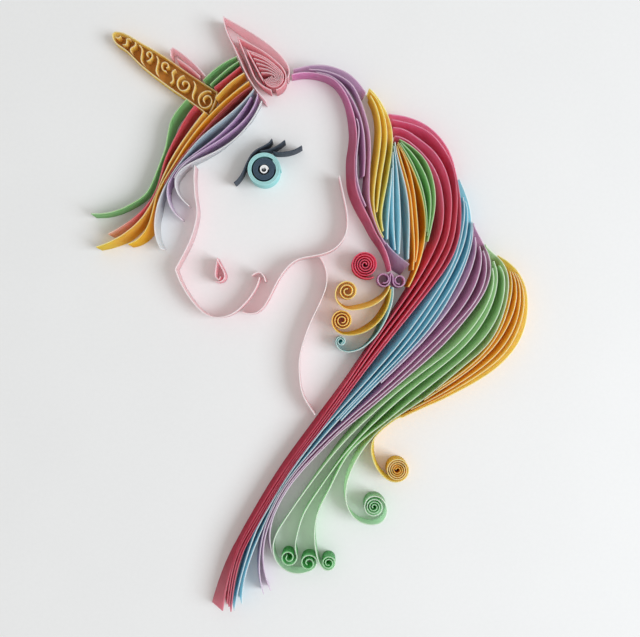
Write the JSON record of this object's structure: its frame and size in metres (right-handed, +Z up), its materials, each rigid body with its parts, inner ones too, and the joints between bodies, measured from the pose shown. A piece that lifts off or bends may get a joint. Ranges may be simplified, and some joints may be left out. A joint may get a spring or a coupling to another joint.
{
  "type": "quilled paper picture",
  "caption": "Unicorn head in profile with a rainbow mane, quilled from coloured paper strips on edge, glued on an off-white backing card.",
  "frame": {"origin": "middle of the backing card's underside", "axes": "+X to the picture's right, +Y to its top, +Z up from the card, which lies flat"},
  "size_m": [0.2, 0.2, 0.007],
  "materials": {
    "card": "matt card",
    "gold_paper": "satin metallic paper",
    "pale_pink_paper": "matt paper",
    "ear_pink_paper": "matt paper",
    "hot_pink_paper": "matt paper",
    "crimson_paper": "matt paper",
    "maroon_paper": "matt paper",
    "yellow_paper": "matt paper",
    "orange_paper": "matt paper",
    "green_paper": "matt paper",
    "teal_paper": "matt paper",
    "blue_paper": "matt paper",
    "sky_paper": "matt paper",
    "purple_paper": "matt paper",
    "lilac_paper": "matt paper",
    "pale_blue_paper": "matt paper",
    "white_blue_paper": "matt paper",
    "turquoise_paper": "matt paper",
    "pupil_paper": "matt paper",
    "lash_paper": "matt paper"
  },
  "bodies": {
    "root": {"backing_card": "card", "horn_base": "gold_paper", "horn_outline": "gold_paper", "horn_scrolls": "gold_paper", "far_ear_outline": "ear_pink_paper", "far_ear_inner": "pale_pink_paper", "near_ear_outline": "ear_pink_paper", "near_ear_middle": "pale_pink_paper", "near_ear_coil": "ear_pink_paper", "forelock_green": "green_paper", "forelock_crimson": "crimson_paper", "forelock_yellow": "yellow_paper", "forelock_orange": "orange_paper", "forelock_maroon": "maroon_paper", "forelock_sky": "sky_paper", "forelock_pink": "pale_pink_paper", "forelock_lilac": "lilac_paper", "forelock_pale_blue": "pale_blue_paper", "face_outline": "pale_pink_paper", "jaw": "pale_pink_paper", "lip": "pale_pink_paper", "neck_front": "pale_pink_paper", "nostril": "ear_pink_paper", "eye_ring": "turquoise_paper", "eye_iris": "pupil_paper", "eye_pupil": "white_blue_paper", "lashes": "lash_paper", "neck_crest": "hot_pink_paper", "crown_lilac": "lilac_paper", "lilac_fold": "lilac_paper", "short_yellow": "yellow_paper", "short_blue": "blue_paper", "short_orange": "orange_paper", "short_green": "green_paper", "purple_scroll": "purple_paper", "teal_curl": "teal_paper", "orange_curl": "orange_paper", "yellow_curl": "yellow_paper", "red_coil": "crimson_paper", "mane_crimson_1": "crimson_paper", "mane_crimson_2": "crimson_paper", "mane_crimson_3": "crimson_paper", "mane_crimson_4": "crimson_paper", "mane_blue_1": "blue_paper", "mane_blue_2": "blue_paper", "mane_blue_3": "blue_paper", "mane_blue_4": "blue_paper", "mane_purple_1": "purple_paper", "mane_purple_2": "purple_paper", "mane_purple_3": "purple_paper", "mane_purple_4": "purple_paper", "mane_green_1": "green_paper", "mane_green_2": "green_paper", "mane_green_3": "green_paper", "mane_green_4": "green_paper", "mane_orange_1": "orange_paper", "mane_orange_2": "orange_paper", "mane_orange_3": "orange_paper", "mane_orange_4": "orange_paper", "mane_orange_5": "orange_paper"}
  },
  "joints": []
}
